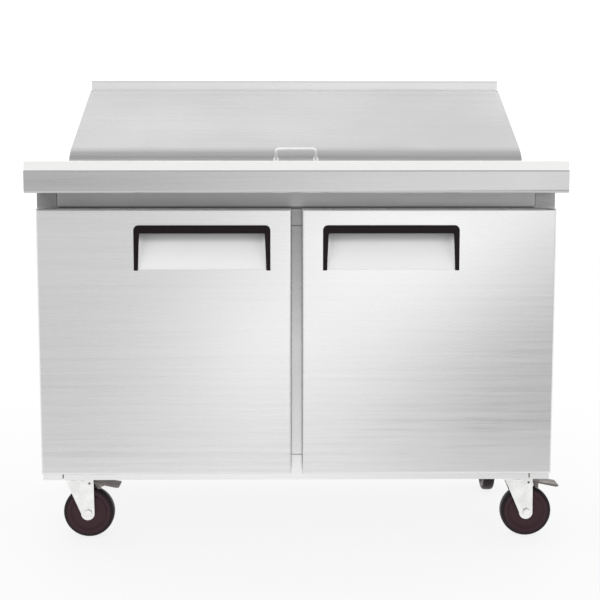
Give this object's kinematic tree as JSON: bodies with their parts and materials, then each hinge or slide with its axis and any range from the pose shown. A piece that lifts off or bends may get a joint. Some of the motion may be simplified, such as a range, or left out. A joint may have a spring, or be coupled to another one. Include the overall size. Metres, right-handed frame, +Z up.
{
  "type": "sandwich prep table",
  "caption": "Refrigerated sandwich prep table: hinged doors with recessed pulls, sloped lid over food pans, front cutting board, brake casters.",
  "frame": {"origin": "on the floor, under the middle of the table", "axes": "+X to the right along the counter, +Y from the front to the back, +Z up"},
  "size_m": [1.2755, 0.762, 1.142],
  "materials": {
    "stainless": "satin",
    "liner_sheet": "satin",
    "galvanised": "satin",
    "foam": "matte",
    "board_white": "satin",
    "black_plastic": "satin",
    "seal": "matte",
    "zinc": "satin",
    "wheel_dark": "satin",
    "black_enamel": "gloss",
    "fin_aluminium": "satin",
    "white_coated_wire": "gloss",
    "grey_plastic": "satin"
  },
  "bodies": {
    "cabinet": {"adapter_bars": "stainless", "back_panel": "galvanised", "bottom_panel": "galvanised", "caster_plates": "zinc", "centre_mullion": "stainless", "compressor": "black_enamel", "condenser_coil": "fin_aluminium", "counter_shelf": "stainless", "door_hinge_brackets": "stainless", "drain_pan": "grey_plastic", "evaporator_coil": "fin_aluminium", "evaporator_cover": "liner_sheet", "fan_motors": "grey_plastic", "food_pans": "stainless", "front_bottom_rail": "stainless", "front_top_rail": "stainless", "inner_liner": "liner_sheet", "insulation": "foam", "lid_hinge_brackets": "stainless", "machine_base": "galvanised", "pan_frame": "stainless", "power_inlet": "black_plastic", "rear_grille": "galvanised", "rear_riser": "stainless", "screws": "zinc", "shelf_brackets": "stainless", "shelf_supports": "stainless", "side_panel_left": "stainless", "side_panel_right": "stainless", "thermostat": "grey_plastic", "wire_shelves": "white_coated_wire"},
    "lid": {"lid_shell": "stainless", "lid_liner": "liner_sheet", "lid_insulation": "foam", "lid_handle": "stainless"},
    "cutting_board": {"cutting_board": "board_white"},
    "evaporator_fan": {"evaporator_fan": "grey_plastic"},
    "condenser_fan": {"condenser_fan": "grey_plastic"},
    "thermostat_knob": {"thermostat_knob": "black_plastic"},
    "door_left": {"door_skin_left": "stainless", "door_liner_left": "liner_sheet", "door_insulation_left": "foam", "door_gasket_left": "seal", "door_handle_left": "black_plastic"},
    "brake_left": {"brake_pedal_left": "zinc"},
    "door_right": {"door_skin_right": "stainless", "door_liner_right": "liner_sheet", "door_insulation_right": "foam", "door_gasket_right": "seal", "door_handle_right": "black_plastic"},
    "brake_right": {"brake_pedal_right": "zinc"},
    "swivel_front_left": {"caster_fork_front_left": "zinc"},
    "wheel_front_left": {"caster_wheel_front_left": "wheel_dark"},
    "swivel_front_right": {"caster_fork_front_right": "zinc"},
    "wheel_front_right": {"caster_wheel_front_right": "wheel_dark"},
    "swivel_rear_left": {"caster_fork_rear_left": "zinc"},
    "wheel_rear_left": {"caster_wheel_rear_left": "wheel_dark"},
    "swivel_rear_right": {"caster_fork_rear_right": "zinc"},
    "wheel_rear_right": {"caster_wheel_rear_right": "wheel_dark"}
  },
  "joints": [
    {"name": "door_left_hinge", "type": "hinge", "parent": "cabinet", "child": "door_left", "pos_m": [-0.588, -0.268, 0.5], "axis": [0, 0, -1], "range_deg": [0, 110]},
    {"name": "door_right_hinge", "type": "hinge", "parent": "cabinet", "child": "door_right", "pos_m": [0.588, -0.268, 0.5], "axis": [0, 0, 1], "range_deg": [0, 110]},
    {"name": "lid_hinge", "type": "hinge", "parent": "cabinet", "child": "lid", "pos_m": [0, 0.334, 1.107], "axis": [-1, 0, 0], "range_deg": [0, 116]},
    {"name": "board_lift", "type": "slide", "parent": "cabinet", "child": "cutting_board", "axis": [0, 0, 1], "range_m": [0, 0.15]},
    {"name": "evaporator_fan_spin", "type": "hinge", "parent": "cabinet", "child": "evaporator_fan", "pos_m": [0, 0.25, 0.64], "axis": [0, 1, 0], "continuous": true},
    {"name": "condenser_fan_spin", "type": "hinge", "parent": "cabinet", "child": "condenser_fan", "pos_m": [0.24, 0.29, 0.285], "axis": [0, 1, 0], "continuous": true},
    {"name": "thermostat_turn", "type": "hinge", "parent": "cabinet", "child": "thermostat_knob", "pos_m": [0.1, 0.225, 0.57], "axis": [0, -1, 0], "range_deg": [-140, 140]},
    {"name": "swivel_front_left", "type": "hinge", "parent": "cabinet", "child": "swivel_front_left", "pos_m": [-0.54, -0.158, 0.15], "axis": [0, 0, 1], "continuous": true},
    {"name": "roll_front_left", "type": "hinge", "parent": "swivel_front_left", "child": "wheel_front_left", "pos_m": [-0.512, -0.158, 0.0625], "axis": [0, 1, 0], "continuous": true},
    {"name": "swivel_front_right", "type": "hinge", "parent": "cabinet", "child": "swivel_front_right", "pos_m": [0.54, -0.158, 0.15], "axis": [0, 0, 1], "continuous": true},
    {"name": "roll_front_right", "type": "hinge", "parent": "swivel_front_right", "child": "wheel_front_right", "pos_m": [0.568, -0.158, 0.0625], "axis": [0, 1, 0], "continuous": true},
    {"name": "swivel_rear_left", "type": "hinge", "parent": "cabinet", "child": "swivel_rear_left", "pos_m": [-0.54, 0.306, 0.15], "axis": [0, 0, 1], "continuous": true},
    {"name": "roll_rear_left", "type": "hinge", "parent": "swivel_rear_left", "child": "wheel_rear_left", "pos_m": [-0.568, 0.306, 0.0625], "axis": [0, 1, 0], "continuous": true},
    {"name": "swivel_rear_right", "type": "hinge", "parent": "cabinet", "child": "swivel_rear_right", "pos_m": [0.54, 0.306, 0.15], "axis": [0, 0, 1], "continuous": true},
    {"name": "roll_rear_right", "type": "hinge", "parent": "swivel_rear_right", "child": "wheel_rear_right", "pos_m": [0.54, 0.278, 0.0625], "axis": [1, 0, 0], "continuous": true},
    {"name": "brake_left", "type": "hinge", "parent": "swivel_front_left", "child": "brake_left", "pos_m": [-0.508, -0.158, 0.137], "axis": [0, -1, 0], "range_deg": [0, 12]},
    {"name": "brake_right", "type": "hinge", "parent": "swivel_front_right", "child": "brake_right", "pos_m": [0.572, -0.158, 0.137], "axis": [0, -1, 0], "range_deg": [0, 12]}
  ]
}
